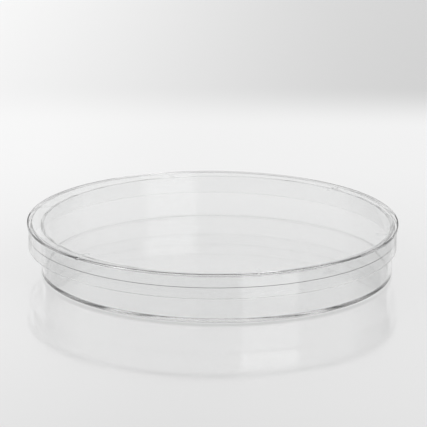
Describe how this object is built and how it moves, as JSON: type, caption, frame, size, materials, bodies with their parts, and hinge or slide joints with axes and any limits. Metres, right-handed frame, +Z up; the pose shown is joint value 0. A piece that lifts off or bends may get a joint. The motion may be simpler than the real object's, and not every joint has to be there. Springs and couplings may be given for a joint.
{
  "type": "petri dish",
  "caption": "Shallow round clear plastic culture dish with a wide loose lid whose skirt overlaps the upper half of the wall",
  "frame": {"origin": "under the middle of the lid, on the surface that the dish stands on", "axes": "+Z up, out through the lid; +X to the side that the dish sits off centre under its loose lid; -Y is the side seen in the reference view"},
  "size_m": [0.15, 0.15, 0.0209],
  "materials": {
    "dish_plastic": "clear, colourless, polished",
    "lid_plastic": "clear, colourless, polished"
  },
  "bodies": {
    "base": {"base_dish": "dish_plastic"},
    "lid": {"lid": "lid_plastic"}
  },
  "joints": [
    {"name": "lid_lift", "type": "slide", "parent": "base", "child": "lid", "axis": [0, 0, 1], "range_m": [0, 0.03]}
  ]
}
